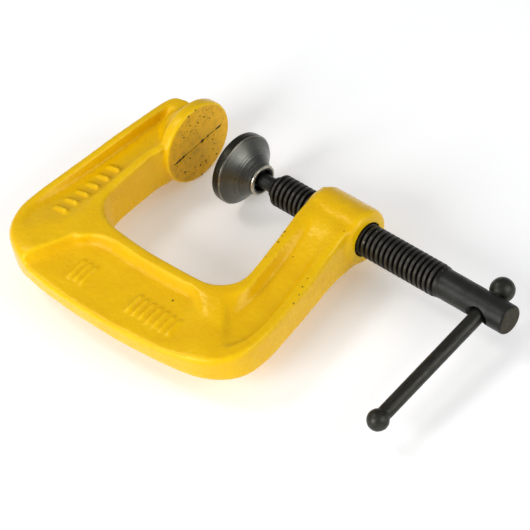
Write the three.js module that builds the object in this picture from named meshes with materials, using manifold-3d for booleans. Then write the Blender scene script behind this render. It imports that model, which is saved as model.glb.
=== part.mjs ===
// Small cast-iron G-clamp, 25 mm class: frame, screw with its ball end, swivel pad, sliding tommy bar.
// Millimetres. X runs along the screw from the anvil to the handle, Y points away from the spine,
// Z is square to the plane of the C. The origin is the middle of the anvil face.
import * as THREE from 'three';
import { mergeVertices } from 'three/addons/utils/BufferGeometryUtils.js';
import Module from 'manifold-3d';

const wasm = await Module();
wasm.setup();

// ---------------------------------------------------------------- driving dimensions
const ANVIL_R = 10.6;          // anvil disc radius
const ANVIL_T = 2.9;           // cylindrical thickness of the disc
const RIM_H = 5.8;             // half thickness of the inner flange round the throat
const WEB_H = 3.3;             // half thickness of the spine panel
const POCKET_H = 2.8;          // half thickness left under the arm pockets
const BOSS_R = 7.0;            // boss radius
const BOSS_X0 = 37.8;          // throat end of the boss
const BOSS_X1 = 53.8;          // handle end of the boss
const BORE_R = 4.25;           // bore through the boss, clear of the thread crests

const PAD_X = 12.7;            // pad face in the rest pose
const PAD_R = 8.8;             // pad rim radius
const BALL_X = 18.0;           // centre of the ball end
const BALL_R = 2.8;            // ball radius
const SOCKET_R = 3.1;          // socket radius in the pad
const LIP_X = 21.2;            // end of the lip swaged over the ball
const NECK_R = 1.85;           // neck radius
const NECK_X0 = 20.2;          // hidden end of the neck, inside the pad
const CONE_X0 = 25.0;          // start of the cone before the thread
const PITCH = 25.4 / 18;       // thread pitch, 18 turns to the inch
const CREST_R = 3.95;          // thread crest radius
const ROOT_R = 3.15;           // thread root radius
const THREAD_X0 = 26.1;        // first full root
const THREAD_X1 = 76.6;        // thread run-out
const SHANK_R = 3.56;          // rolled blank radius
const SCREW_X1 = 96.0;         // handle end of the screw
const HOLE_X = 89.0;           // cross hole position
const HOLE_R = 2.08;           // cross hole radius

const BAR_R = 1.78;            // tommy bar radius
const BAR_LEAN = 3.6 * Math.PI / 180;  // lean of the bar out of the C plane at rest
const FAR_R = 3.0;             // ball head resting on the shank
const FAR_S = 5.8;             // its centre from the screw axis
const NEAR_R = 2.6;            // ball head at the free end
const NEAR_S = 37.3;           // its centre from the screw axis

// ---------------------------------------------------------------- helpers
function solid(geometry) {
  geometry.deleteAttribute('normal');
  geometry.deleteAttribute('uv');
  const g = mergeVertices(geometry, 1e-4);
  return new wasm.Manifold(new wasm.Mesh({
    numProp: 3,
    vertProperties: Float32Array.from(g.attributes.position.array),
    triVerts: Uint32Array.from(g.index.array),
  }));
}

function geometryOf(manifold) {
  const m = manifold.getMesh();
  const g = new THREE.BufferGeometry();
  g.setAttribute('position', new THREE.BufferAttribute(Float32Array.from(m.vertProperties), 3));
  g.setIndex(Array.from(m.triVerts));
  g.computeVertexNormals();
  return g;
}

function meshOf(name, geometry, color, roughness, metalness) {
  const material = new THREE.MeshStandardMaterial({ color, roughness, metalness });
  material.name = name + '_material';
  const mesh = new THREE.Mesh(geometry, material);
  mesh.name = name;
  return mesh;
}

// turned body about X from [x, r] pairs that start and end on the axis
function turned(profile, segments) {
  const points = profile.map(([x, r]) => new THREE.Vector2(r, x));
  const g = new THREE.LatheGeometry(points, segments);
  g.rotateZ(-Math.PI / 2);
  return g;
}

// ---------------------------------------------------------------- frame
// The C is lofted along its own length. Each station joins a point of the throat wall to a point of
// the outer wall; both run through smooth curves, from the anvil end round the spine to the boss.
const THROAT_WALL = [
  [-1.7, 5.4], [-1.7, 4.4], [-1.8, 3.0], [-1.8, 0], [-2.0, -10], [-2.2, -20], [-2.2, -25.6],
  [-1.7, -28.6], [-0.1, -31.2], [2.2, -32.9], [5.0, -33.9], [8, -34.4], [13, -34.8], [19, -35.0],
  [27, -34.8], [33, -34.5], [36.6, -34.0], [39.4, -32.6], [41.5, -30.4], [42.3, -27.6],
  [41.9, -24], [40.9, -18], [39.8, -11], [38.9, -5], [38.3, 3],
];
const OUTER_WALL = [
  [-9.6, 5.7], [-12.2, 4.9], [-13.3, 2.9], [-13.9, 0], [-15.2, -10], [-16.2, -20], [-17.1, -29],
  [-17.8, -37.5], [-17.5, -43.7], [-14.7, -49.3], [-8.9, -52.8], [-1.3, -54.6], [8, -55.3],
  [19, -55.5], [30, -55.1], [40, -54.1], [48, -52.3], [53.6, -49.1], [56.6, -44.6], [57.4, -39],
  [57.0, -32], [55.7, -21], [54.2, -12], [53.5, -5], [53.3, 3],
];
// Section at chosen stations: half thickness of the inner flange, where its bevel starts and ends
// (from the throat wall), floor, foot and shoulder of the outer flange (from the outer wall), its
// half thickness, half thickness of the outer edge, rise of the floor towards the throat.
const SECTION = [
  [0, [6.0, 2.4, 3.6, 5.4, 3.2, 2.2, 5.2, 4.0, 0]],
  [2.4, [6.4, 2.6, 3.8, 5.0, 3.4, 2.2, 5.2, 4.0, 0.1]],
  [3.2, [6.3, 2.2, 3.6, POCKET_H, 3.1, 2.2, 5.2, 4.0, 0.9]],
  [4.2, [6.0, 1.9, 3.4, POCKET_H - 0.5, 3.0, 2.2, 5.2, 4.1, 1.4]],
  [6.0, [5.7, 2.0, 3.8, POCKET_H, 3.4, 2.3, 5.2, 4.2, 1.1]],
  [7.6, [5.7, 3.2, 6.6, POCKET_H + 1.2, 4.0, 2.5, 5.2, 3.9, 0.7]],
  [9.0, [RIM_H, 4.6, 9.0, 5.2, 4.2, 2.6, 5.1, 3.1, 0.2]],
  [9.9, [RIM_H, 8.0, 11.5, 5.2, 4.2, 2.4, 4.8, 2.5, 0.1]],
  [10.12, [RIM_H, 8.2, 9.6, WEB_H - 0.6, 3.2, 1.4, WEB_H - 0.8, 1.9, 0.6]],
  [10.5, [RIM_H, 5.4, 6.8, WEB_H - 0.7, 3.2, 1.2, WEB_H - 0.85, 1.8, 0.7]],
  [11.0, [RIM_H, 3.7, 5.1, WEB_H - 0.7, 3.2, 1.2, WEB_H - 0.85, 1.8, 0.7]],
  [11.8, [RIM_H, 2.8, 4.2, WEB_H - 0.7, 3.2, 1.2, WEB_H - 0.8, 1.8, 0.7]],
  [15.1, [RIM_H, 2.7, 4.1, WEB_H - 0.4, 3.2, 1.6, WEB_H - 0.3, 2.0, 0.4]],
  [16.1, [RIM_H, 2.4, 8.6, WEB_H - 0.1, 3.8, 2.2, WEB_H + 0.1, 2.2, 0.1]],
  [17.0, [RIM_H, 2.2, 11.6, WEB_H, 5.0, 3.4, WEB_H + 0.5, 2.5, 0]],
  [17.5, [RIM_H, 2.8, 9.4, POCKET_H + 0.3, 5.0, 3.4, WEB_H + 0.7, 2.8, 0]],
  [18.6, [RIM_H, 3.4, 6.0, POCKET_H + 0.1, 4.6, 3.0, 4.2, 3.1, 0]],
  [20.0, [RIM_H, 3.0, 4.7, POCKET_H, 4.2, 2.7, 4.3, 3.2, 0]],
  [21.0, [RIM_H + 0.1, 2.6, 4.4, POCKET_H + 0.3, 4.2, 2.6, 4.4, 3.3, 0]],
  [22.2, [RIM_H + 0.5, 2.6, 4.8, 4.7, 4.4, 2.4, 5.3, 4.0, 0]],
  [23.2, [6.6, 2.8, 5.2, 6.3, 4.6, 2.2, 6.3, 5.4, 0]],
  [24.0, [6.2, 3.0, 5.4, 6.1, 4.6, 2.2, 6.1, 5.6, 0]],
];

const clamp01 = (t) => Math.min(1, Math.max(0, t));
const smooth = (t) => clamp01(t) ** 2 * (3 - 2 * clamp01(t));

function sectionAt(u) {
  let i = 0;
  while (i + 2 < SECTION.length && u > SECTION[i + 1][0]) i++;
  const [u0, a] = SECTION[i];
  const [u1, b] = SECTION[i + 1];
  const t = clamp01((u - u0) / (u1 - u0));
  return a.map((v, k) => v + (b[k] - v) * t);
}

// half section as [distance along the line from throat wall to outer wall, half thickness]
function halfSection(u, width) {
  const [rim, bevelA, bevelB, floor, foot, shoulder, flange, edge, rise] = sectionAt(u);
  const inner = floor + rise;
  const mid = (bevelB + width - foot) / 2;
  const run = bevelB - bevelA;
  const chamfer = Math.max(0.65, 0.55 * (flange - edge));
  return [
    [0, rim - 0.75], [0.2, rim - 0.3], [0.8, rim], [bevelA, rim],
    [bevelA + 0.15 * run, rim - 0.1 * (rim - inner)], [bevelA + 0.9 * run, rim - 0.94 * (rim - inner)],
    [bevelB, inner], [mid, floor + 0.4 * rise], [width - foot, floor], [width - shoulder, flange],
    [width - chamfer, flange - 0.12 * (flange - edge)],
    [width - 0.3 * chamfer, flange - 0.5 * (flange - edge)], [width, edge],
  ];
}

function loftedC(stations) {
  const curve = (points) => new THREE.SplineCurve(points.map(([x, y]) => new THREE.Vector2(x, y)));
  const throat = curve(THROAT_WALL);
  const outer = curve(OUTER_WALL);
  const last = THROAT_WALL.length - 1;
  const positions = [];
  const index = [];
  let around = 0;
  for (let i = 0; i <= stations; i++) {
    const u = last * i / stations;
    const p = throat.getPoint(u / last);
    const q = outer.getPoint(Math.min(1, (u + 0.4 * smooth((u - 7) / 2.5) * smooth((14 - u) / 3.2)) / last));
    p.x += 0.75 * smooth((p.y + 13.5) / 3.5) * smooth((7 - u) / 2);
    const inset = 0.4 + 0.2 * smooth((u - 13) / 2);
    q.lerp(p, inset / p.distanceTo(q));
    const half = halfSection(u, p.distanceTo(q));
    const loop = [...half, ...half.slice().reverse().map(([d, h]) => [d, -h])];
    around = loop.length;
    for (const [d, h] of loop) {
      const m = p.clone().lerp(q, d / p.distanceTo(q));
      positions.push(m.x, m.y, h);
    }
  }
  for (let i = 0; i < stations; i++) {
    for (let k = 0; k < around; k++) {
      const a = i * around + k;
      const b = i * around + (k + 1) % around;
      index.push(a, b + around, a + around, a, b, b + around);
    }
  }
  // flat ends, each a strip between the upper and the lower half of its section
  for (const [base, flip] of [[0, false], [stations * around, true]]) {
    for (let k = 0; k < around / 2 - 1; k++) {
      const [a, b, c, d] = [k, k + 1, around - 2 - k, around - 1 - k].map((v) => base + v);
      index.push(...(flip ? [a, b, c, a, c, d] : [a, c, b, a, d, c]));
    }
  }
  const g = new THREE.BufferGeometry();
  g.setAttribute('position', new THREE.Float32BufferAttribute(positions, 3));
  g.setIndex(index);
  return solid(g);
}

// raised marks: a row of plain round-ended bars standing off a floor
function bars(count, x, y, step, length, floor, alongX) {
  const shape = new THREE.Shape();
  const r = 0.45;
  shape.absarc(0, length / 2 - r, r, 0, Math.PI, false);
  shape.absarc(0, r - length / 2, r, Math.PI, 2 * Math.PI, false);
  let body = null;
  for (let i = 0; i < count; i++) {
    const g = new THREE.ExtrudeGeometry(shape, { depth: 2 * floor, bevelEnabled: false, curveSegments: 4 });
    g.translate(0, 0, -floor);
    if (!alongX) g.rotateZ(Math.PI / 2);
    g.translate(x + (alongX ? i * step : 0), y + (alongX ? 0 : i * step), 0);
    body = body ? body.add(solid(g)) : solid(g);
  }
  return body;
}

function frameBody() {
  let body = loftedC(96);
  body = body.add(bars(6, -9.2, -37.2, 3.5, 3.4, POCKET_H + 1.2, false));
  body = body.add(bars(3, 6.5, -47.2, 1.9, 6.0, WEB_H + 0.1, true));
  body = body.add(bars(7, 25.0, -47.2, 2.1, 5.4, WEB_H + 0.15, true));

  // boss
  body = body.add(solid(turned([
    [BOSS_X0, 0], [BOSS_X0, BOSS_R - 2.0], [BOSS_X0 + 0.6, BOSS_R - 0.9], [BOSS_X0 + 2.2, BOSS_R],
    [BOSS_X1 - 1.3, BOSS_R], [BOSS_X1 - 0.4, BOSS_R - 0.5], [BOSS_X1, BOSS_R - 1.4], [BOSS_X1, 0],
  ], 56)));

  // anvil disc with drafted side, coned back into the arm
  body = body.add(solid(turned([
    [-9.4, 0], [-9.4, 4.4], [-7.6, 5.8], [-5.4, 7.6], [-ANVIL_T - 0.6, 9.7], [-ANVIL_T, ANVIL_R - 0.2],
    [-ANVIL_T + 0.5, ANVIL_R], [-0.5, ANVIL_R - 0.02], [-0.14, ANVIL_R - 0.16], [0, ANVIL_R - 0.5], [0, 0],
  ], 64)));

  const bore = turned([[30, 0], [30, BORE_R], [60, BORE_R], [60, 0]], 40);
  return body.subtract(solid(bore));
}

// ---------------------------------------------------------------- screw
// Closed skin of the whole screw: plain rings, then a helical grid that carries the thread, then plain
// rings again. Columns of the grid one turn apart share an edge, so the thread is one unbroken ribbon.
function screwSkin(sides) {
  const positions = [];
  const index = [];
  const vertex = (x, r, k) => {
    const a = 2 * Math.PI * k / sides;
    positions.push(x, r * Math.cos(a), r * Math.sin(a));
    return positions.length / 3 - 1;
  };
  const ring = (x, r) => Array.from({ length: sides }, (_, k) => vertex(x, r, k));
  const join = (a, b) => {
    for (let k = 0; k < sides; k++) {
      const n = (k + 1) % sides;
      index.push(a[k], a[n], b[n], a[k], b[n], b[k]);
    }
  };
  const fan = (apex, rim) => {
    for (let j = 0; j + 1 < rim.length; j++) index.push(apex, rim[j], rim[j + 1]);
  };
  const cap = (rim, x, outward) => {
    const middle = vertex(x, 0, 0);
    fan(middle, outward ? [...rim, rim[0]] : [...rim, rim[0]].reverse());
  };

  const turns = Math.floor((THREAD_X1 - THREAD_X0) / PITCH);
  const end = sides * turns;
  const xEnd = THREAD_X0 + PITCH * turns;
  const ridge = [[0, 0], [0.31, 1], [0.45, 1], [0.76, 0]];
  const radiusAt = (x, height) => {
    const lead = ROOT_R + 0.75 * (x - THREAD_X0);
    const fade = Math.min(1, Math.max(0, (x - xEnd + 3) / 3));
    const r = Math.min(ROOT_R + (CREST_R - ROOT_R) * height, lead);
    return r + (SHANK_R - r) * fade;
  };

  // neck, fillet and lead-in cone
  const rings = [
    [NECK_X0, NECK_R - 0.35], [NECK_X0 + 0.35, NECK_R], [CONE_X0 - 0.5, NECK_R],
    [CONE_X0 - 0.1, NECK_R + 0.25], [CONE_X0 + 0.3, NECK_R + 0.55], [THREAD_X0 - 0.3, ROOT_R - 0.2],
  ].map(([x, r]) => ring(x, r));
  cap(rings[0], NECK_X0, false);
  for (let i = 0; i + 1 < rings.length; i++) join(rings[i], rings[i + 1]);
  const lead = rings[rings.length - 1];

  // thread
  const columns = [];
  for (let k = 0; k <= end; k++) {
    columns.push(ridge.map(([p, h]) => {
      const x = THREAD_X0 + PITCH * (k / sides + p);
      return vertex(x, radiusAt(x, h), k);
    }));
  }
  const closing = [columns[end][0]];
  for (let i = 1; i <= sides; i++) closing.push(vertex(xEnd + PITCH * i / sides, SHANK_R, i));
  const startOf = (k) => (k <= end ? columns[k][0] : closing[k - end]);
  for (let k = 0; k < end; k++) {
    const a = [...columns[k], startOf(k + sides)];
    const b = [...columns[k + 1], startOf(k + sides + 1)];
    for (let j = 0; j + 1 < a.length; j++) index.push(a[j], b[j], b[j + 1], a[j], b[j + 1], a[j + 1]);
  }

  // first turn down to the cone
  for (let k = 0; k < sides - 1; k++) {
    index.push(lead[k], lead[k + 1], startOf(k + 1), lead[k], startOf(k + 1), startOf(k));
  }
  fan(lead[sides - 1], [lead[0], ...columns[0], startOf(sides), startOf(sides - 1)]);

  // last turn up to the shank
  const shank = ring(xEnd + PITCH + 0.4, SHANK_R);
  index.push(closing[0], closing[1], shank[1]);
  fan(shank[1], [shank[0], closing[sides], ...columns[end].slice().reverse()]);
  for (let i = 1; i < sides; i++) {
    const above = shank[(i + 1) % sides];
    index.push(closing[i], closing[i + 1], above, closing[i], above, shank[i]);
  }
  const tail = [[SCREW_X1 - 0.45, SHANK_R], [SCREW_X1, SHANK_R - 0.4]].map(([x, r]) => ring(x, r));
  join(shank, tail[0]);
  join(tail[0], tail[1]);
  cap(tail[1], SCREW_X1, true);

  const g = new THREE.BufferGeometry();
  g.setAttribute('position', new THREE.Float32BufferAttribute(positions, 3));
  g.setIndex(index);
  return g;
}

// direction of the tommy bar, from its free end to the head that rests on the shank
const barMatrix = (x, s) => new THREE.Matrix4().makeRotationX(BAR_LEAN)
  .premultiply(new THREE.Matrix4().makeTranslation(x, s * Math.cos(BAR_LEAN), s * Math.sin(BAR_LEAN)));

function screwBody() {
  const hole = new THREE.CylinderGeometry(HOLE_R, HOLE_R, 12, 24);
  hole.applyMatrix4(barMatrix(HOLE_X, 0));
  return solid(screwSkin(20)).subtract(solid(hole));
}

// ---------------------------------------------------------------- ball end, pad, tommy bar
function ballEnd() {
  const profile = [];
  const stop = Math.acos((NECK_X0 - 0.3 - BALL_X) / BALL_R);
  for (let i = 0; i <= 12; i++) {
    const a = Math.PI + (stop - Math.PI) * i / 12;
    profile.push([BALL_X + BALL_R * Math.cos(a), i === 0 ? 0 : BALL_R * Math.sin(a)]);
  }
  profile.push([NECK_X0 - 0.3, 0]);
  return turned(profile, 32);
}

function swivelPad() {
  const profile = [
    [PAD_X, 0], [PAD_X, PAD_R - 0.5], [PAD_X + 0.25, PAD_R - 0.15], [PAD_X + 2.2, PAD_R],
    [PAD_X + 2.45, PAD_R - 0.25], [PAD_X + 3.7, 7.2], [PAD_X + 5.4, 5.3], [LIP_X - 1.5, 4.25],
    [LIP_X - 0.9, 3.75], [LIP_X - 0.6, 3.95], [LIP_X - 0.15, 3.9], [LIP_X, 3.6], [LIP_X, 2.85],
  ];
  // socket, from its mouth to its bottom on the axis
  const mouth = Math.acos(2.0 / SOCKET_R);
  for (let i = 0; i <= 10; i++) {
    const a = mouth + (Math.PI - mouth) * i / 10;
    profile.push([BALL_X + SOCKET_R * Math.cos(a), i === 10 ? 0 : SOCKET_R * Math.sin(a)]);
  }
  return turned(profile, 60);
}

function tommyBar() {
  // profile along the bar, from the free head to the resting head
  const profile = [];
  const headTo = (centre, radius, from, to) => {
    for (let i = 0; i <= 9; i++) {
      const a = from + (to - from) * i / 9;
      const onAxis = (i === 0 && from === Math.PI) || (i === 9 && to === 0);
      profile.push([centre + radius * Math.cos(a), onAxis ? 0 : radius * Math.sin(a)]);
    }
  };
  headTo(-NEAR_S, NEAR_R, Math.PI, Math.asin(BAR_R / NEAR_R));
  headTo(FAR_S, FAR_R, Math.PI - Math.asin(BAR_R / FAR_R), 0);
  const points = profile.map(([s, r]) => new THREE.Vector2(r, s));
  const g = new THREE.LatheGeometry(points, 28);
  g.applyMatrix4(barMatrix(HOLE_X, 0));
  return g;
}

// ---------------------------------------------------------------- assembly
const group = new THREE.Group();
group.name = 'c_clamp';
group.add(
  meshOf('frame', geometryOf(frameBody()), 0xe3b30f, 0.35, 0.0),
  meshOf('screw', geometryOf(screwBody()), 0x2b2b27, 0.5, 0.7),
  meshOf('ball_end', ballEnd(), 0x3a3a36, 0.45, 0.7),
  meshOf('pad', swivelPad(), 0x4a4a45, 0.4, 0.8),
  meshOf('tommy_bar', tommyBar(), 0x35352f, 0.4, 0.8),
);
export default group;
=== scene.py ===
"""Small yellow cast G-clamp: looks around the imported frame. Shapes are worked out in millimetres."""

import math

import bmesh
import bpy
import numpy as np
from mathutils import Matrix, Vector, noise


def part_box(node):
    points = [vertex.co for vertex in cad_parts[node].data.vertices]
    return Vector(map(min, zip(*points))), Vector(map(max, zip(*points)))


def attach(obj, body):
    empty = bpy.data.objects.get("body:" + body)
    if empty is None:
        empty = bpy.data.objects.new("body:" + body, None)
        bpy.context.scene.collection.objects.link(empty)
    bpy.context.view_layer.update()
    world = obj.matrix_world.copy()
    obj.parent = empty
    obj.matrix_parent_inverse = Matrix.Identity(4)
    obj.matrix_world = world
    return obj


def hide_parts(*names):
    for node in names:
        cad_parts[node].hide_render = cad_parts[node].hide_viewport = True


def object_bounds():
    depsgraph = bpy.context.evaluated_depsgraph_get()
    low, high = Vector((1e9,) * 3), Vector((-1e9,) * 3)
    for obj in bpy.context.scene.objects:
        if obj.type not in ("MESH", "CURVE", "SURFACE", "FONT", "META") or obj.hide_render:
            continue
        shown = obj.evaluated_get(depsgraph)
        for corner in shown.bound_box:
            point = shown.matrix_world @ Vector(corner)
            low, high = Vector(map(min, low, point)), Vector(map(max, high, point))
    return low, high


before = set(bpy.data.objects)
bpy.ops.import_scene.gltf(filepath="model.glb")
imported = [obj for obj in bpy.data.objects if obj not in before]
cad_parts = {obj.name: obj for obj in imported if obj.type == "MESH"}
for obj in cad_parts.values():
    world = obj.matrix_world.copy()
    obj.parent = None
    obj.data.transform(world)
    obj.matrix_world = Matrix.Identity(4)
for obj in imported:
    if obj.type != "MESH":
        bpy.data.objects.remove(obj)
cad_low, cad_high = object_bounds()
MM = 0.001

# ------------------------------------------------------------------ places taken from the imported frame
frame_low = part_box("frame")[0] / MM
pad_low, pad_high = (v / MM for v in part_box("pad"))
screw_low, screw_high = (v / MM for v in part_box("screw"))

# half thicknesses of the casting: rim round the throat, spine panel, pockets of the arms
RIM_H, WEB_H, POCKET_H = 5.8, 3.3, 2.8
ANVIL_R, ANVIL_T = 10.6, 2.9
BOSS_R, BOSS_X0, BOSS_X1 = 7.0, 37.8, 53.8
BORE_R = 4.08
VOXEL = 0.31

# pad, which hangs PAD_SAG low on its loose ball
PAD_X, PAD_R, PAD_SAG = pad_low.x, 8.92, 0.2
LIP_X = pad_high.x
BALL_X, BALL_R, SOCKET_R = 18.0, 2.8, 3.1

# screw: 18 turns to the inch
NECK_X0, NECK_R, CONE_X0 = screw_low.x, 1.85, 25.0
PITCH = 25.4 / 18
CREST_R, ROOT_R, SHANK_R = 3.95, 3.12, 3.56
THREAD_X0, THREAD_X1 = 26.1, 76.6
THREAD_SIDES, ROWS_PER_TURN = 80, 18
SCREW_X1 = screw_high.x

# tommy bar: its cross hole, the lean of its line out of the XY plane, the heads' places along it
HOLE_X, HOLE_R = 89.0, 2.08
LEAN = math.radians(3.6)
BAR_R = 1.78
FAR_R, FAR_S, NEAR_R, NEAR_S = 3.0, 5.8, 2.6, -37.3

# ------------------------------------------------------------------ mesh helpers


def linked(name, data):
    """A new object with this mesh, light or camera, in the scene."""
    obj = bpy.data.objects.new(name, data)
    bpy.context.scene.collection.objects.link(obj)
    return obj


def mesh_of(name, verts, faces):
    """A mesh from millimetre vertices and index faces."""
    mesh = bpy.data.meshes.new(name)
    mesh.from_pydata((np.asarray(verts, float) * MM).tolist(), [], faces)
    mesh.validate()
    return mesh


def outward(mesh):
    """Turns every face outward and joins doubled vertices."""
    bm = bmesh.new()
    bm.from_mesh(mesh)
    bmesh.ops.remove_doubles(bm, verts=bm.verts, dist=1e-7)
    bmesh.ops.dissolve_degenerate(bm, edges=bm.edges, dist=1e-8)
    bmesh.ops.recalc_face_normals(bm, faces=bm.faces)
    bm.to_mesh(mesh)
    bm.free()


def shade(mesh, sharp):
    """Smooth shading, with edges sharper than this many degrees kept crisp."""
    mesh.polygons.foreach_set("use_smooth", [True] * len(mesh.polygons))
    mesh.set_sharp_from_angle(angle=math.radians(sharp))


def coords(mesh):
    """Vertices in millimetres."""
    co = np.zeros(len(mesh.vertices) * 3, np.float32)
    mesh.vertices.foreach_get("co", co)
    return co.reshape(-1, 3).astype(float) / MM


def normals(mesh):
    """Vertex normals."""
    no = np.zeros(len(mesh.vertices) * 3, np.float32)
    mesh.vertex_normals.foreach_get("vector", no)
    return no.reshape(-1, 3).astype(float)


def set_coords(mesh, co):
    """Moves the vertices to these places in millimetres."""
    mesh.vertices.foreach_set("co", (co * MM).astype(np.float32).ravel())
    mesh.update()


def edges_of(mesh):
    """Both vertex numbers of each edge."""
    e = np.zeros(len(mesh.edges) * 2, np.int32)
    mesh.edges.foreach_get("vertices", e)
    return e.reshape(-1, 2)


def averaged(co, edges, count, factor=0.5, weight=None):
    """Rows moved towards the mean of their neighbours' rows, count times."""
    n = len(co)
    degree = np.bincount(edges.ravel(), minlength=n).astype(float)[:, None]
    co = co.copy()
    w = factor if weight is None else factor * weight[:, None]
    for _ in range(count):
        total = np.zeros_like(co)
        for k in range(co.shape[1]):
            total[:, k] = np.bincount(edges[:, 0], co[edges[:, 1], k], n)
            total[:, k] += np.bincount(edges[:, 1], co[edges[:, 0], k], n)
        co += w * (total / degree - co)
    return co


def attribute(mesh, name, values):
    """A number on each vertex, for the materials."""
    layer = mesh.attributes.new(name, "FLOAT", "POINT")
    layer.data.foreach_set("value", np.asarray(values, np.float32))


def noise_at(co, scale, seed):
    """Perlin noise, about -1 to 1, with features of this many millimetres."""
    shift = Vector((seed * 17.3, seed * 5.1, seed * 29.7))
    return np.array([noise.noise(Vector(p) / scale + shift) for p in co])


def evaluated(obj):
    """The object's mesh with its modifiers applied."""
    graph = bpy.context.evaluated_depsgraph_get()
    return bpy.data.meshes.new_from_object(obj.evaluated_get(graph))


def settle(obj):
    """Applies the modifiers to the object itself."""
    mesh = evaluated(obj)
    old = obj.data
    obj.modifiers.clear()
    obj.data = mesh
    bpy.data.meshes.remove(old)


def cut(obj, cutter):
    """Takes the cutter's solid out of obj."""
    m = obj.modifiers.new("cut", "BOOLEAN")
    m.operation = "DIFFERENCE"
    m.solver = "EXACT"
    m.object = cutter
    settle(obj)
    bpy.data.objects.remove(cutter)


def smooth(t):
    """0 below 0, 1 above 1, and an S curve between."""
    t = np.clip(t, 0.0, 1.0)
    return t * t * (3 - 2 * t)


def lathe(profile, segments, place=None):
    """Closed turned body about X from [x, r] pairs that start and end on the axis."""
    verts, faces, rings = [], [], []
    for x, r in profile:
        if r < 1e-6:
            rings.append([len(verts)])
            verts.append((x, 0, 0))
        else:
            rings.append(list(range(len(verts), len(verts) + segments)))
            for k in range(segments):
                a = 2 * math.pi * k / segments
                verts.append((x, r * math.cos(a), r * math.sin(a)))
    for p, q in zip(rings, rings[1:]):
        for k in range(segments):
            n = (k + 1) % segments
            loop = [p[k % len(p)], p[n % len(p)], q[n % len(q)], q[k % len(q)]]
            loop = list(dict.fromkeys(loop))
            if len(loop) > 2:
                faces.append(loop)
    co = np.array(verts)
    if place is not None:
        m = np.array(place)
        co = co @ m[:3, :3].T + m[:3, 3]
    return co, faces


def joined(parts):
    """Several (vertices, faces) as one."""
    verts, faces, base = [], [], 0
    for co, fs in parts:
        verts.append(np.asarray(co, float))
        faces += [[i + base for i in f] for f in fs]
        base += len(co)
    return np.vstack(verts), faces


def resampled(profile, step):
    """More points along the profile, at most step apart."""
    out = [profile[0]]
    for a, b in zip(profile, profile[1:]):
        n = max(1, math.ceil(math.dist(a, b) / step))
        out += [tuple(np.array(a) + (np.array(b) - np.array(a)) * k / n) for k in range(1, n + 1)]
    return out


# ------------------------------------------------------------------ frame
# the C from the anvil end to the boss end: points (x, y) of its inner and outer walls, one for one
THROAT_WALL = [
    (-1.7, 5.4), (-1.7, 4.4), (-1.8, 3.0), (-1.8, 0), (-2.0, -10), (-2.2, -20), (-2.2, -25.6),
    (-1.7, -28.6), (-0.1, -31.2), (2.2, -32.9), (5.0, -33.9), (8, -34.4), (13, -34.8), (19, -35.0),
    (27, -34.8), (33, -34.5), (36.6, -34.0), (39.4, -32.6), (41.5, -30.4), (42.3, -27.6),
    (41.9, -24), (40.9, -18), (39.8, -11), (38.9, -5), (38.3, 3),
]
OUTER_WALL = [
    (-9.6, 5.7), (-12.2, 4.9), (-13.3, 2.9), (-13.9, 0), (-15.2, -10), (-16.2, -20), (-17.1, -29),
    (-17.8, -37.5), (-17.5, -43.7), (-14.7, -49.3), (-8.9, -52.8), (-1.3, -54.6), (8, -55.3),
    (19, -55.5), (30, -55.1), (40, -54.1), (48, -52.3), (53.6, -49.1), (56.6, -44.6), (57.4, -39),
    (57.0, -32), (55.7, -21), (54.2, -12), (53.5, -5), (53.3, 3),
]
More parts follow.
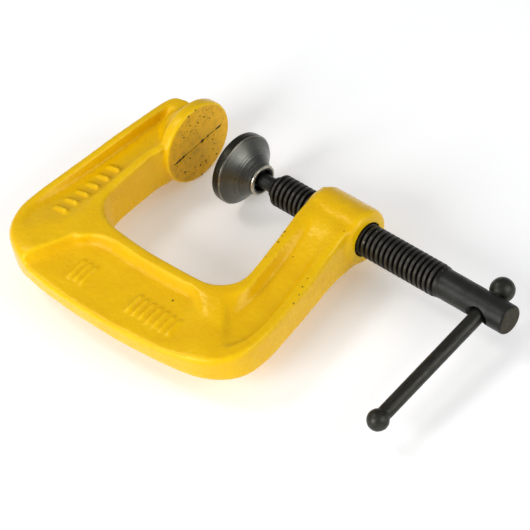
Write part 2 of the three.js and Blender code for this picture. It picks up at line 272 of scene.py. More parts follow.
# along the C, by point number: half thickness of the inner rim, start and end of its bevel from the
# throat, half thickness of the floor, foot and shoulder of the outer flange from the outer wall, its
# half thickness, half thickness of the outer edge, and how much the floor rises towards the throat
SECTION = [
    (0, (6.0, 2.4, 3.6, 5.4, 3.2, 2.2, 5.2, 4.0, 0.0)),
    (2.4, (6.4, 2.6, 3.8, 5.0, 3.4, 2.2, 5.2, 4.0, 0.1)),
    (3.2, (6.3, 2.2, 3.6, POCKET_H, 3.1, 2.2, 5.2, 4.0, 0.9)),
    (4.2, (6.0, 1.9, 3.4, POCKET_H - 0.5, 3.0, 2.2, 5.2, 4.1, 1.4)),
    (6.0, (5.7, 2.0, 3.8, POCKET_H, 3.4, 2.3, 5.2, 4.2, 1.1)),
    (7.6, (5.7, 3.2, 6.6, POCKET_H + 1.2, 4.0, 2.5, 5.2, 3.9, 0.7)),
    (9.0, (RIM_H, 4.6, 9.0, 5.2, 4.2, 2.6, 5.1, 3.1, 0.2)),
    (9.9, (RIM_H, 8.0, 11.5, 5.2, 4.2, 2.4, 4.8, 2.5, 0.1)),
    (10.12, (RIM_H, 8.2, 9.6, WEB_H - 0.6, 3.2, 1.4, WEB_H - 0.8, 1.9, 0.6)),
    (10.5, (RIM_H, 5.4, 6.8, WEB_H - 0.7, 3.2, 1.2, WEB_H - 0.85, 1.8, 0.7)),
    (11.0, (RIM_H, 3.7, 5.1, WEB_H - 0.7, 3.2, 1.2, WEB_H - 0.85, 1.8, 0.7)),
    (11.8, (RIM_H, 2.8, 4.2, WEB_H - 0.7, 3.2, 1.2, WEB_H - 0.8, 1.8, 0.7)),
    (14.9, (RIM_H, 2.7, 4.1, WEB_H - 0.4, 3.2, 1.6, WEB_H - 0.4, 2.0, 0.4)),
    (15.6, (RIM_H, 2.5, 7.4, WEB_H + 0.2, 3.4, 2.0, WEB_H + 0.1, 2.1, 0.5)),
    (16.2, (RIM_H, 2.3, 10.4, WEB_H + 0.6, 3.8, 2.4, WEB_H + 0.5, 2.2, 0.4)),
    (17.0, (RIM_H, 2.2, 12.0, WEB_H + 0.5, 5.0, 3.4, WEB_H + 0.6, 2.5, 0.2)),
    (17.5, (RIM_H, 2.8, 9.4, POCKET_H + 0.4, 5.0, 3.4, WEB_H + 0.7, 2.8, 0.0)),
    (18.6, (RIM_H, 3.4, 6.0, POCKET_H + 0.1, 4.6, 3.0, 4.2, 3.1, 0.0)),
    (20.0, (RIM_H, 3.0, 4.7, POCKET_H, 4.2, 2.7, 4.3, 3.2, 0.0)),
    (21.0, (RIM_H + 0.1, 2.6, 4.4, POCKET_H + 0.3, 4.2, 2.6, 4.4, 3.3, 0.0)),
    (22.2, (RIM_H + 0.5, 2.6, 4.8, 4.7, 4.4, 2.4, 5.3, 4.0, 0.0)),
    (23.2, (6.6, 2.8, 5.2, 6.3, 4.6, 2.2, 6.3, 5.4, 0.0)),
    (24.0, (6.2, 3.0, 5.4, 6.1, 4.6, 2.2, 6.1, 5.6, 0.0)),
]


def spline(points, u):
    """Uniform Catmull-Rom curve through the points, at u from 0 to their count less one."""
    last = len(points) - 1
    i = min(int(u), last - 1)
    t = u - i
    p0, p1, p2, p3 = (np.array(points[min(max(j, 0), last)], float) for j in (i - 1, i, i + 1, i + 2))
    v0, v1 = (p2 - p0) / 2, (p3 - p1) / 2
    return (
        (2 * p1 - 2 * p2 + v0 + v1) * t**3 + (-3 * p1 + 3 * p2 - 2 * v0 - v1) * t**2 + v0 * t + p1
    )


def section_at(u):
    """The section at u, by cubic pieces between the stations that never overshoot."""
    at = np.array([row[0] for row in SECTION], float)
    rows = np.array([row[1] for row in SECTION], float)
    step = np.diff(at)
    rise = np.diff(rows, axis=0) / step[:, None]
    same = rise[:-1] * rise[1:] > 0
    both = np.where(same, rise[:-1] + rise[1:], 1.0)
    slope = np.vstack([rise[0], np.where(same, 2 * rise[:-1] * rise[1:] / both, 0.0), rise[-1]])
    i = min(int(np.searchsorted(at, u, side="right")) - 1, len(step) - 1)
    t = (u - at[i]) / step[i]
    return (
        (1 + 2 * t) * (1 - t) ** 2 * rows[i] + t * (1 - t) ** 2 * step[i] * slope[i]
        + t * t * (3 - 2 * t) * rows[i + 1] + t * t * (t - 1) * step[i] * slope[i + 1]
    )


def half_section(u, width):
    """[distance from the throat wall, height] round the upper half of the section at u."""
    rim, bevel_a, bevel_b, floor, foot, shoulder, flange, edge, rise = section_at(u)
    inner = floor + rise
    mid = (bevel_b + width - foot) / 2
    run = bevel_b - bevel_a
    chamfer = max(0.65, 0.55 * (flange - edge))
    return [
        (0, rim - 0.75), (0.2, rim - 0.3), (0.8, rim), (bevel_a, rim),
        (bevel_a + 0.15 * run, rim - 0.1 * (rim - inner)),
        (bevel_a + 0.9 * run, rim - 0.94 * (rim - inner)), (bevel_b, inner),
        (mid, floor + 0.4 * rise), (width - foot, floor), (width - shoulder, flange),
        (width - chamfer, flange - 0.12 * (flange - edge)),
        (width - 0.3 * chamfer, flange - 0.5 * (flange - edge)),
        (width, edge),
    ]


def lofted_c(stations=384):
    """The C without its disc and boss, as one skin through its sections."""
    verts, faces = [], []
    for i in range(stations + 1):
        u = i / stations * (len(THROAT_WALL) - 1)

        # sections lean forward round the corner into the spine
        skew = 0.4 * smooth((u - 7.0) / 2.5) * smooth((14.0 - u) / 3.2)
        p, q = spline(THROAT_WALL, u), spline(OUTER_WALL, u + skew)

        # the throat wall swells to meet the disc, and the outer wall is drawn in, more past the corner
        p[0] += 0.75 * smooth((p[1] + 13.5) / 3.5) * smooth((7 - u) / 2)
        q -= (0.4 + 0.2 * smooth((u - 13.0) / 2.0)) * (q - p) / np.linalg.norm(q - p)
        width = np.linalg.norm(q - p)
        half = half_section(u, width)
        loop = half + [(d, -h) for d, h in reversed(half)]
        around = len(loop)
        for d, h in loop:
            m = p + (q - p) * d / width
            verts.append((m[0], m[1], h))
    for i in range(stations):
        for k in range(around):
            a, b = i * around + k, i * around + (k + 1) % around
            faces.append([a, b, b + around, a + around])
    for base in (0, stations * around):
        for k in range(around // 2 - 1):
            faces.append([base + v for v in (k, k + 1, around - 2 - k, around - 1 - k)])
    return verts, faces


def mark_bar(x, y, length, height, along_y, slope):
    """A plain round-ended bar right through the web, along Y or X, this high at its middle on both sides.

    The slope is how much it rises per millimetre towards its + end, as the floor under it does.
    """
    r, steps = 0.5, 8
    outline = []
    for end, start in ((1, 0.0), (-1, math.pi)):
        for k in range(steps + 1):
            a = start + math.pi * k / steps
            outline.append((r * math.cos(a), end * (length / 2 - r) + r * math.sin(a)))
    if not along_y:
        outline = [(-v, u) for u, v in outline]
    n = len(outline)
    verts = []
    for s, scale in ((-1, 0.8), (-0.75, 1.0), (0.75, 1.0), (1, 0.8)):
        for u, v in outline:
            h = height + slope * (v if along_y else u) - (0.0 if abs(s) == 1 else 0.35)
            verts.append((x + u * scale, y + v * scale, math.copysign(h, s)))
    faces = [[n * j + k for k in range(n)] for j in (0, 3)]
    for j in range(3):
        faces += [
            [n * j + k, n * j + (k + 1) % n, n * (j + 1) + (k + 1) % n, n * (j + 1) + k] for k in range(n)
        ]
    return verts, faces


def cast_frame():
    """The casting: C, disc, boss and raised marks fused, with the mould's rounding, waves and bore."""
    parts = [lofted_c()]

    # marks: a row up the arm that follows its rising floor, and two rows on the spine panel
    for i, height in enumerate((5.4, 5.0, 4.45, 4.05, 3.9, 3.85)):
        parts.append(mark_bar(-8.6, -37.2 + 3.5 * i, 4.4, height, False, 0.24))
    for i in range(3):
        parts.append(mark_bar(6.5 + 1.9 * i, -47.2, 6.0, WEB_H + 0.12, True, 0.05))
    for i in range(7):
        parts.append(mark_bar(25.0 + 2.1 * i, -47.2, 5.4, WEB_H + 0.2, True, 0.05))

    # boss, and the anvil disc with its drafted side coned back into the arm
    boss = [
        (BOSS_X0, 0), (BOSS_X0, BOSS_R - 2.0), (BOSS_X0 + 0.6, BOSS_R - 0.9), (BOSS_X0 + 2.2, BOSS_R),
        (BOSS_X1 - 1.3, BOSS_R), (BOSS_X1 - 0.4, BOSS_R - 0.5), (BOSS_X1, BOSS_R - 1.4), (BOSS_X1, 0),
    ]
    disc = [
        (-9.4, 0), (-9.4, 4.4), (-7.6, 5.8), (-5.4, 7.6), (-ANVIL_T - 0.6, 9.7), (-ANVIL_T, ANVIL_R - 0.2),
        (-ANVIL_T + 0.5, ANVIL_R), (-0.55, ANVIL_R - 0.02), (-0.16, ANVIL_R - 0.16), (0, ANVIL_R - 0.45),
        (0, 0),
    ]
    parts += [lathe(boss, 96), lathe(disc, 128)]
    mesh = mesh_of("cast_frame", *joined(parts))
    outward(mesh)
    obj = linked("cast_frame", mesh)
    remesh = obj.modifiers.new("remesh", "REMESH")
    remesh.mode = "VOXEL"
    remesh.voxel_size = VOXEL * MM
    settle(obj)
    mesh = obj.data

    # rounded corners of a sand casting: all edges soften, the anvil rim less, the foot of the boss more
    co, edges = coords(mesh), edges_of(mesh)
    radius = np.hypot(co[:, 1], co[:, 2])
    on_disc = (co[:, 0] > -3.6) & (co[:, 0] < 0.6) & (radius > 6)
    weight = np.where(on_disc, 0.3, 1.0)
    at_boss = smooth((co[:, 0] - 36) / 2) * smooth((9.5 - radius) / 2) * smooth((-1.0 - co[:, 1]) / 2)
    co = averaged(co, edges, 4, 0.55, weight)
    co = averaged(co, edges, 8, 0.55, at_boss)
    set_coords(mesh, co)

    # waves and grain of the sand mould, hardly any on the anvil face
    no = normals(mesh)
    face = (np.abs(co[:, 0]) < 0.12) & (np.hypot(co[:, 1], co[:, 2]) < 10.0)
    free = 1.0 - 0.85 * face
    swell = 0.06 * noise_at(co, 9.0, seed=1) + 0.035 * noise_at(co, 3.2, seed=2)
    grain = 0.022 * noise_at(co, 0.85, seed=3)
    sandy = smooth((noise_at(co, 7.0, seed=4) + 0.1) * 2.0)
    co += no * (free * (swell + grain * (0.5 + sandy)))[:, None]
    set_coords(mesh, co)

    cutter = linked("bore_cutter", mesh_of("bore_cutter", *lathe([
        (BOSS_X0 - 3.0, 0), (BOSS_X0 - 3.0, BORE_R + 0.35), (BOSS_X0 + 0.15, BORE_R + 0.35),
        (BOSS_X0 + 0.5, BORE_R), (BOSS_X1 - 0.45, BORE_R), (BOSS_X1 - 0.1, BORE_R + 0.3),
        (BOSS_X1 + 3.0, BORE_R + 0.3), (BOSS_X1 + 3.0, 0),
    ], 96)))
    outward(cutter.data)
    cut(obj, cutter)
    return obj


# on the anvil face: where its crack is wider (y, reach, extra half width) and its larger blow holes
# (y, z, radius)
CRACK_WIDENINGS = [(-6.9, 0.9, 0.3), (-5.2, 0.35, 0.26), (1.3, 0.4, 0.34), (3.2, 0.3, 0.14), (6.9, 0.8, 0.24)]
BLOW_HOLES = [
    (-1.3, 7.0, 0.26), (1.2, 5.9, 0.24), (3.4, 6.1, 0.3), (-0.8, -6.9, 0.3), (0.3, -4.5, 0.22),
    (1.0, -7.0, 0.26), (-2.6, 6.2, 0.2), (2.1, 7.4, 0.2), (-3.9, 5.2, 0.22), (4.9, 4.4, 0.2),
]


def refine_anvil(mesh, reach, half_height):
    """Splits the edges of the anvil face within this radius and height, for the crack and pits."""
    bm = bmesh.new()
    bm.from_mesh(mesh)

    def inside(v):
        x, y, z = v.co
        return abs(x) < 0.15 * MM and math.hypot(y, z) < reach * MM and abs(z) < half_height * MM

    chosen = [e for e in bm.edges if all(inside(v) for v in e.verts)]
    bmesh.ops.subdivide_edges(bm, edges=chosen, cuts=1, use_grid_fill=True)
    bm.to_mesh(mesh)
    bm.free()


def anvil_damage(mesh):
    """The open parting line across the anvil face and the blow holes around it, in shape and as a mask."""
    rng = np.random.default_rng(11)
    co = coords(mesh)
    y, z = co[:, 1], co[:, 2]
    face = (np.abs(co[:, 0]) < 0.3) & (np.hypot(y, z) < 10.1)
    index = np.nonzero(face)[0]
    yf, zf = y[index], z[index]
    line = np.c_[yf, yf * 0, yf * 0]
    wobble = 0.16 * noise_at(line, 1.3, seed=6)
    wobble += 0.12 * noise_at(line, 4.0, seed=7)
    wide = 0.11 + 0.08 * np.clip(noise_at(line, 1.1, seed=8), -0.7, 1)
    for cy, r, extra in CRACK_WIDENINGS:
        wide += extra * np.exp(-(((yf - cy) / r) ** 2))
    ends = smooth((8.6 - np.abs(yf + 0.2)) / 0.8)
    gap = np.exp(-(((zf - wobble + 0.35) / np.maximum(wide, 0.07)) ** 2)) * ends
    broken = np.clip(0.85 + 0.8 * noise_at(line, 0.8, seed=9), 0.25, 1)
    crack = gap * broken
    holes = np.zeros(len(index))
    for k in range(150):
        cy, cz = rng.uniform(-9.0, 9.0), rng.uniform(-9.0, 9.0)
        near = abs(cz - 5.4) < 2.3 or abs(cz + 5.6) < 2.3 or rng.random() < 0.25
        r = rng.uniform(0.07, 0.17) + (0.12 if rng.random() < 0.14 else 0.0)
        if k < len(BLOW_HOLES):
            cy, cz, r = BLOW_HOLES[k]
        elif math.hypot(cy, cz) > 9.3 or not near:
            continue
        d = np.hypot(yf - cy, (zf - cz) * rng.uniform(0.8, 1.3))
        holes = np.maximum(holes, np.exp(-((d / r) ** 2)))
    co[index, 0] -= 0.3 * np.maximum(crack, 0.6 * holes)
    set_coords(mesh, co)
    mask = np.zeros(len(co))
    mask[index] = np.maximum(crack, 0.85 * holes)
    return mask


# where paint has flaked off: x, y and z near the surface, radius
CHIPS = [
    (40.9, -12.9, 5.9, 0.3), (41.1, -14.0, 5.9, 0.2), (41.6, -15.9, 5.9, 0.26), (42.3, -20.9, 5.9, 0.22),
    (54.2, -21.9, 4.2, 0.25), (53.3, -19.5, 4.2, 0.2), (55.8, -26.6, 3.8, 0.24), (54.9, -24.0, 4.2, 0.2),
    (31.8, -41.3, 3.1, 0.26), (51.8, -4.7, 5.5, 0.2), (-3.6, -4.4, 6.6, 0.24), (-0.3, -1.2, 9.9, 0.28),
    (-0.3, 1.5, 10.0, 0.22), (45.6, -15.8, 3.1, 0.2),
]


def chip_mask(co):
    """1 in the middle of each flake, 0 outside, with a ragged edge; the same on both sides of the casting."""
    mask = np.zeros(len(co))
    for x, y, z, r in CHIPS:
        for side in (1, -1):
            centre = co[((co - (x, y, side * z)) ** 2).sum(1).argmin()]
            near = np.nonzero(np.abs(co - centre).max(1) < 4 * r)[0]
            d = np.linalg.norm(co[near] - centre, axis=1)
            ragged = 1 + 0.5 * noise_at(co[near], 0.35, seed=31)
            mask[near] = np.maximum(mask[near], np.clip(1.5 - d / r * ragged, 0, 1))
    return mask


def finish_frame(obj):
    """Damage on the anvil face, and the vertex numbers that the enamel reads."""
    mesh = obj.data
    refine_anvil(mesh, 9.9, 9.9)
    refine_anvil(mesh, 9.4, 1.5)
    pits = anvil_damage(mesh)
    co, edges, no = coords(mesh), edges_of(mesh), normals(mesh)
    # relief, how far each point stands out from its neighbours: the enamel paints shade in hollows and a
    # highlight on ridges from it
    relief = ((co - averaged(co, edges, 30)) * no).sum(1)
    attribute(mesh, "relief", averaged(relief[:, None], edges, 2)[:, 0] / 0.25)
    attribute(mesh, "pits", pits)
    attribute(mesh, "chips", chip_mask(co))
    radius = np.hypot(co[:, 1], co[:, 2])
    anvil = smooth((co[:, 0] + 0.22) / 0.16) * smooth((10.15 - radius) / 0.25) * (co[:, 0] < 1)
    attribute(mesh, "anvil", anvil)
    bore = (radius < BORE_R + 0.12) & (co[:, 0] > BOSS_X0 - 2)
    attribute(mesh, "bore", bore.astype(float))
    shade(mesh, 60)
    return obj


# ------------------------------------------------------------------ screw
def thread_height(p):
    """Height of the rolled thread, 0 at the root and 1 at the crest, over one pitch."""
    d = np.abs((p - 0.38 + 0.5) % 1.0 - 0.5)
    t = np.clip((0.47 - d) / 0.24, 0, 1)
    return 0.45 * t + 0.55 * smooth(t)


def threaded_skin(x_start, x_stop):
    """The thread's skin from x_start to x_stop as a grid whose columns shear by one pitch a turn."""
    total = math.ceil((x_stop - x_start) / PITCH + 1) * ROWS_PER_TURN
    verts, faces = [], []
    for k in range(THREAD_SIDES):
        turn = k / THREAD_SIDES
        for j in range(total + 1):
            raw = x_start + PITCH * (j / ROWS_PER_TURN - 1 + turn)
            x = min(max(raw, x_start), x_stop)
            height = thread_height(np.array((x - THREAD_X0) / PITCH - turn))
            lead = NECK_R + 0.45 + 1.02 * (x - x_start)
            r = min(ROOT_R + (CREST_R - ROOT_R) * height, max(lead, ROOT_R - 0.45))
            fade = float(smooth((x - (THREAD_X1 - 1.6)) / 2.6))
            r = r + (SHANK_R - r) * fade
            a = 2 * math.pi * turn
            verts.append((x, r * math.cos(a), r * math.sin(a)))
    column = total + 1
    for k in range(THREAD_SIDES):
        n = (k + 1) % THREAD_SIDES
        shift = ROWS_PER_TURN if n == 0 else 0
        for j in range(total):
            a, b = k * column + j, n * column + j + shift
            if j + 1 + shift <= total:
                faces.append([a, b, b + 1, a + 1])
    return verts, faces


def screw_piece():
    """The whole screw as one skin: neck, cone, thread and shank, with the cross hole bored through."""
    x_start, x_stop = CONE_X0 + 0.3, THREAD_X1 + 1.6
    verts, faces = threaded_skin(x_start, x_stop)
    bm = bmesh.new()
    bv = [bm.verts.new(Vector(v) * MM) for v in verts]
    for f in faces:
        bm.faces.new([bv[i] for i in f])
    bmesh.ops.remove_doubles(bm, verts=bm.verts, dist=2e-6)
    bmesh.ops.dissolve_degenerate(bm, edges=bm.edges, dist=1e-7)
    loose = [v for v in bm.verts if not v.link_faces]
    bmesh.ops.delete(bm, geom=loose, context="VERTS")

    def end_ring(x):
        """The open edge at x, in order round the axis."""
        ring = {v for e in bm.edges if e.is_boundary for v in e.verts if abs(v.co.x - x * MM) < 1e-5}
        return sorted(ring, key=lambda v: math.atan2(v.co.z, v.co.y))

    def extend(ring, profile):
        """Carries the skin on from an open ring through [x, r] pairs to a closing point."""
        for x, r in profile:
            if r < 1e-6:
                tip = bm.verts.new((x * MM, 0, 0))
                for i, v in enumerate(ring):
                    bm.faces.new((v, ring[(i + 1) % len(ring)], tip))
                return
            fresh = []
            for v in ring:
                a = math.atan2(v.co.z, v.co.y)
                fresh.append(bm.verts.new((x * MM, r * math.cos(a) * MM, r * math.sin(a) * MM)))
            for i in range(len(ring)):
                n = (i + 1) % len(ring)
                bm.faces.new((ring[i], ring[n], fresh[n], fresh[i]))
            ring = fresh

    neck = [
        (CONE_X0 + 0.05, NECK_R + 0.22), (CONE_X0 - 0.2, NECK_R + 0.08), (CONE_X0 - 0.55, NECK_R),
        (CONE_X0 - 1.5, NECK_R - 0.02), (CONE_X0 - 2.6, NECK_R), (NECK_X0 + 0.35, NECK_R),
        (NECK_X0 + 0.1, NECK_R - 0.1), (NECK_X0, NECK_R - 0.35), (NECK_X0, 0),
    ]
    extend(end_ring(x_start), neck)
    shank = [(x_stop + 0.4, SHANK_R), (x_stop + 3.0, SHANK_R)]
    shank += [(x, SHANK_R) for x in np.arange(x_stop + 4.0, SCREW_X1 - 1.0, 0.8)]
    shank += [
        (SCREW_X1 - 0.62, SHANK_R), (SCREW_X1 - 0.42, SHANK_R - 0.03), (SCREW_X1 - 0.12, SHANK_R - 0.25),
        (SCREW_X1 - 0.03, SHANK_R - 0.38), (SCREW_X1, SHANK_R - 0.6), (SCREW_X1, SHANK_R - 1.2),
        (SCREW_X1 - 0.02, 1.4), (SCREW_X1 - 0.03, 0.6), (SCREW_X1 - 0.03, 0),
    ]
    extend(end_ring(x_stop), shank)
    bmesh.ops.recalc_face_normals(bm, faces=bm.faces)
    mesh = bpy.data.meshes.new("threaded_screw")
    bm.to_mesh(mesh)
    bm.free()
    obj = linked("threaded_screw", mesh)
    hole = [
        (-8, 0), (-8, HOLE_R + 0.95), (-3.5, HOLE_R + 0.95), (-2.8, HOLE_R + 0.6), (-1.4, HOLE_R),
        (1.4, HOLE_R), (2.8, HOLE_R + 0.6), (3.5, HOLE_R + 0.95), (8, HOLE_R + 0.95), (8, 0),
    ]
    cutter = linked("hole_cutter", mesh_of("hole_cutter", *lathe(hole, 48, across(HOLE_X))))
    outward(cutter.data)
    cut(obj, cutter)
    mesh = obj.data
    co = coords(mesh)
    radius = np.hypot(co[:, 1], co[:, 2])
    # crest and top, how high on the thread each point sits: the steel paints shade in the roots and a
    # highlight along the crests from them
    attribute(mesh, "crest", smooth((radius - ROOT_R - 0.1) / (CREST_R - ROOT_R - 0.25)))
    attribute(mesh, "top", smooth((radius - CREST_R + 0.07) / 0.06))
    thread = smooth((co[:, 0] - CONE_X0) / 0.6) * smooth((THREAD_X1 + 1.2 - co[:, 0]) / 1.0)
    attribute(mesh, "thread", thread)
    attribute(mesh, "sawn", smooth((co[:, 0] - SCREW_X1 + 0.12) / 0.08))
    shade(mesh, 42)
    return obj


def across(x):
    """Places a body turned about X so that it runs along the tommy bar's line through this x."""
    turn = Matrix.Rotation(LEAN, 4, "X") @ Matrix.Rotation(math.pi / 2, 4, "Z")
    return Matrix.Translation((x, 0, 0)) @ turn


# ------------------------------------------------------------------ ball end, pad, tommy bar
def arc(centre, radius, start, stop, steps):
    """[x, r] points of a circle about the axis, by angle from +X in degrees."""
    out = []
    for k in range(steps + 1):
        a = math.radians(start + (stop - start) * k / steps)
        out.append((centre + radius * math.cos(a), max(0.0, radius * math.sin(a))))
    return out


def ball_piece():
    """The ball inside the pad, cut off flat where the neck meets it."""
    stop = math.degrees(math.acos((NECK_X0 - 0.3 - BALL_X) / BALL_R))
    profile = arc(BALL_X, BALL_R, 180, stop, 30) + [(NECK_X0 - 0.3, 0.6), (NECK_X0 - 0.3, 0)]
    mesh = mesh_of("ball_tip", *lathe(profile, 64))
    outward(mesh)
    shade(mesh, 40)
    return linked("ball_tip", mesh)


def pad_piece():
    """The turned pad: flat face, rim, cone with tool marks, lip over the ball, and its socket."""
    rng = np.random.default_rng(4)
    face = [(PAD_X + 0.12, 0), (PAD_X + 0.12, 0.5), (PAD_X, 0.9), (PAD_X, PAD_R - 0.45)]
    rim = [
        (PAD_X + 0.22, PAD_R - 0.12), (PAD_X + 0.75, PAD_R - 0.03), (PAD_X + 2.15, PAD_R),
        (PAD_X + 2.42, PAD_R - 0.2),
    ]
    cone = [
        (PAD_X + 2.8, PAD_R - 0.62), (PAD_X + 3.4, 7.5), (PAD_X + 4.1, 6.65), (PAD_X + 4.8, 5.9),
        (PAD_X + 5.5, 5.24), (PAD_X + 6.2, 4.66), (PAD_X + 6.9, 4.2), (LIP_X - 1.05, 3.86),
    ]
    lip = [
        (LIP_X - 0.85, 3.72), (LIP_X - 0.72, 3.84), (LIP_X - 0.45, 3.9), (LIP_X - 0.14, 3.82),
        (LIP_X, 3.54), (LIP_X, 3.12), (LIP_X - 0.12, 2.84),
    ]
    mouth = math.degrees(math.acos(2.0 / SOCKET_R))
    socket = [(LIP_X - 0.4, 2.72)] + arc(BALL_X, SOCKET_R, mouth, 180, 24)
    cone = resampled([rim[-1], *cone], 0.16)[1:]
    cone = [(x, r + rng.normal(0, 0.011)) for x, r in cone]
    face = resampled(face, 0.3)
    profile = face + resampled([face[-1], *rim], 0.3)[1:] + cone + resampled([cone[-1], *lip], 0.12)[1:]
    profile += socket
    mesh = mesh_of("swivel_pad", *lathe(profile, 144))
    outward(mesh)
    co = coords(mesh)
    radius = np.hypot(co[:, 1], co[:, 2])
    set_coords(mesh, co - (0, 0, PAD_SAG))
    # bright rear edge of the rim and the lip: rubbed wear and painted highlight
    rear_edge = np.exp(-(((co[:, 0] - PAD_X - 2.34) / 0.1) ** 2)) * (radius > PAD_R - 0.4)
    lip_worn_and_lit = smooth((co[:, 0] - LIP_X + 0.6) / 0.3) * smooth((radius - 3.2) / 0.25)
    attribute(mesh, "worn_and_lit", np.maximum(rear_edge, lip_worn_and_lit))
    # socket, the inside of the pad and the mouth of the lip: the steel paints shade there
    attribute(mesh, "socket", smooth((3.25 - radius) / 0.2) * (co[:, 0] > PAD_X + 1.0))
    attribute(mesh, "band", smooth((radius - PAD_R + 0.3) / 0.2))
    attribute(mesh, "ring", co[:, 0] + 0.7 * radius)
    shade(mesh, 50)
    return linked("swivel_pad", mesh)


def bar_piece():
    """The tommy bar along its leaning line, with both heads, slightly uneven from the forging."""
    near_neck = 180 - math.degrees(math.asin((BAR_R + 0.25) / NEAR_R))
    far_neck = math.degrees(math.asin((BAR_R + 0.25) / FAR_R))
    near = arc(NEAR_S, NEAR_R, 180, 180 - near_neck, 22)
    far = arc(FAR_S, FAR_R, 180 - far_neck, 0, 24)
    near_end = near[-1][0]
    far_start = far[0][0]
    middle = [(near_end + 0.18, BAR_R + 0.1), (near_end + 0.5, BAR_R + 0.01), (near_end + 0.9, BAR_R)]
    middle += [(x, BAR_R) for x in np.arange(near_end + 1.8, far_start - 1.2, 0.9)]
    middle += [(far_start - 0.9, BAR_R), (far_start - 0.5, BAR_R + 0.01), (far_start - 0.18, BAR_R + 0.1)]
    mesh = mesh_of("sliding_bar", *lathe(near + middle + far, 56, across(HOLE_X)))
    outward(mesh)
    co, no = coords(mesh), normals(mesh)
    along = co[:, 1] * math.cos(LEAN) + co[:, 2] * math.sin(LEAN)
    head = smooth((NEAR_S + 3.0 - along) / 1.5) + smooth((along - FAR_S + 2.6) / 1.5)
    dent = 0.075 * noise_at(co, 2.3, seed=21) + 0.02 * noise_at(co, 0.8, seed=22)
    scar = 0.012 * noise_at(co, 1.6, seed=23)
    set_coords(mesh, co + no * (head * (dent - 0.03) + (1 - head) * scar)[:, None])
    shade(mesh, 60)
    return linked("sliding_bar", mesh)


# ------------------------------------------------------------------ materials
class Nodes:
    """Short forms for building a node tree. Places are in millimetres of the object."""

    def __init__(self, name):
        self.material = bpy.data.materials.new(name)
        self.material.use_nodes = True
        self.tree = self.material.node_tree
        self.tree.nodes.clear()
        self.shader = self.tree.nodes.new("ShaderNodeBsdfPrincipled")
        out = self.tree.nodes.new("ShaderNodeOutputMaterial")
        self.link(self.shader.outputs[0], out.inputs["Surface"])
        where = self.tree.nodes.new("ShaderNodeTexCoord")
        scale = self.tree.nodes.new("ShaderNodeVectorMath")
        scale.operation = "SCALE"
        scale.inputs["Scale"].default_value = 1 / MM
        self.link(where.outputs["Object"], scale.inputs[0])
        self.place = scale.outputs[0]

    def link(self, a, b):
        """Joins output a to input b."""
        self.tree.links.new(a, b)

    def feed(self, socket, value):
        """Links an output to the socket, or sets a constant on it."""
        if isinstance(value, bpy.types.NodeSocket):
            self.link(value, socket)
        else:
            socket.default_value = value

    def set(self, **values):
        """Feeds the shader's inputs, named with _ for each space."""
        for name, value in values.items():
            self.feed(self.shader.inputs[name.replace("_", " ")], value)

    def noise(self, scale, detail, roughness, vector=None, seed=0.0):
        """Fractal noise with this many features per millimetre."""
        n = self.tree.nodes.new("ShaderNodeTexNoise")
        n.noise_dimensions = "4D"
        n.inputs["W"].default_value = seed
        n.inputs["Scale"].default_value = scale
        n.inputs["Detail"].default_value = detail
        n.inputs["Roughness"].default_value = roughness
        self.link(vector or self.place, n.inputs["Vector"])
        return n.outputs["Fac"]

    def attribute(self, name):
        """A number that the mesh carries on each vertex."""
        n = self.tree.nodes.new("ShaderNodeAttribute")
        n.attribute_name = name
        return n.outputs["Fac"]

    def math(self, operation, a, b=0.0, clamp=False):
        """One step of arithmetic on two numbers or outputs."""
        n = self.tree.nodes.new("ShaderNodeMath")
        n.operation = operation
        n.use_clamp = clamp
        self.feed(n.inputs[0], a)
        self.feed(n.inputs[1], b)
        return n.outputs[0]

    def remap(self, value, low, high, to_low=0.0, to_high=1.0):
        """The value from low to high as an S curve from to_low to to_high."""
        n = self.tree.nodes.new("ShaderNodeMapRange")
        n.interpolation_type = "SMOOTHSTEP"
        for socket, v in zip(n.inputs, (value, low, high, to_low, to_high)):
            self.feed(socket, v)
        return n.outputs[0]

    def mix(self, fac, a, b):
        """Colour a at 0, colour b at 1."""
        n = self.tree.nodes.new("ShaderNodeMix")
        n.data_type = "RGBA"
        self.feed(n.inputs["Factor"], fac)
        self.feed(n.inputs[6], (*a, 1.0) if isinstance(a, tuple) else a)
        self.feed(n.inputs[7], (*b, 1.0) if isinstance(b, tuple) else b)
        return n.outputs[2]

    def bump(self, height, distance, strength, below=None):
        """Relief this many millimetres deep, over another one if given."""
        n = self.tree.nodes.new("ShaderNodeBump")
        n.inputs["Strength"].default_value = strength
        n.inputs["Distance"].default_value = distance * MM
        self.feed(n.inputs["Height"], height)
        if below is not None:
            self.link(below, n.inputs["Normal"])
        return n.outputs["Normal"]

    def stretched(self, x, y, z):
        """Places scaled by these along X, Y and Z."""
        n = self.tree.nodes.new("ShaderNodeVectorMath")
        n.operation = "MULTIPLY"
        n.inputs[1].default_value = (x, y, z)
        self.link(self.place, n.inputs[0])
        return n.outputs[0]

    def on_line(self, x):
        """A place that changes with this one number only."""
        n = self.tree.nodes.new("ShaderNodeCombineXYZ")
        self.link(x, n.inputs["X"])
        return n.outputs[0]


